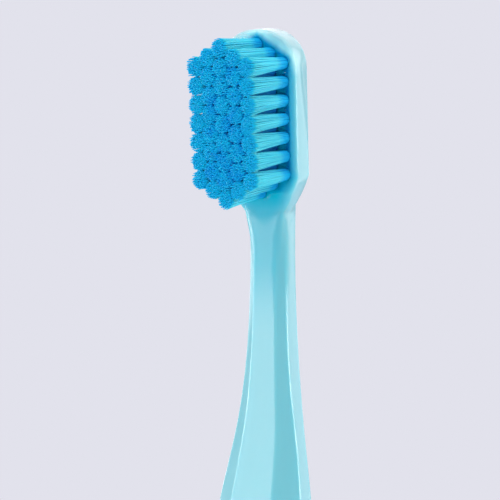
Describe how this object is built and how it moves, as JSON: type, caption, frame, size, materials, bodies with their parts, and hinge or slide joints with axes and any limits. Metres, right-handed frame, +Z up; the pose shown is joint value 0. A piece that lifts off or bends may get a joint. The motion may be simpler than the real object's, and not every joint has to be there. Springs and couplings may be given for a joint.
{
  "type": "manual toothbrush",
  "caption": "Manual toothbrush with a faceted, gently flared handle, a slim neck and a round-topped head of flat-trimmed staggered bristle tufts.",
  "frame": {"origin": "centre of the butt face at the lower end of the handle", "axes": "+Z up the handle to the head, +X across the brush, -Y the way the bristles point"},
  "size_m": [0.0138, 0.0159, 0.1784],
  "materials": {
    "handle_plastic": "glossy moulded plastic, pale turquoise, a little translucent",
    "bristle": "fine blue filaments, lighter on the stems",
    "anchor_metal": "bare punched strip"
  },
  "bodies": {
    "root": {"handle": "handle_plastic", "anchor_plates": "anchor_metal", "tuft_c1_r1": "bristle", "tuft_c1_r2": "bristle", "tuft_c1_r3": "bristle", "tuft_c1_r4": "bristle", "tuft_c1_r5": "bristle", "tuft_c1_r6": "bristle", "tuft_c1_r7": "bristle", "tuft_c2_r1": "bristle", "tuft_c2_r2": "bristle", "tuft_c2_r3": "bristle", "tuft_c2_r4": "bristle", "tuft_c2_r5": "bristle", "tuft_c2_r6": "bristle", "tuft_c2_r7": "bristle", "tuft_c2_r8": "bristle", "tuft_c3_r1": "bristle", "tuft_c3_r2": "bristle", "tuft_c3_r3": "bristle", "tuft_c3_r4": "bristle", "tuft_c3_r5": "bristle", "tuft_c3_r6": "bristle", "tuft_c3_r7": "bristle", "tuft_c3_r8": "bristle", "tuft_c3_r9": "bristle", "tuft_c4_r1": "bristle", "tuft_c4_r2": "bristle", "tuft_c4_r3": "bristle", "tuft_c4_r4": "bristle", "tuft_c4_r5": "bristle", "tuft_c4_r6": "bristle", "tuft_c4_r7": "bristle", "tuft_c4_r8": "bristle", "tuft_c5_r1": "bristle", "tuft_c5_r2": "bristle", "tuft_c5_r3": "bristle", "tuft_c5_r4": "bristle", "tuft_c5_r5": "bristle", "tuft_c5_r6": "bristle", "tuft_c5_r7": "bristle"}
  },
  "joints": []
}
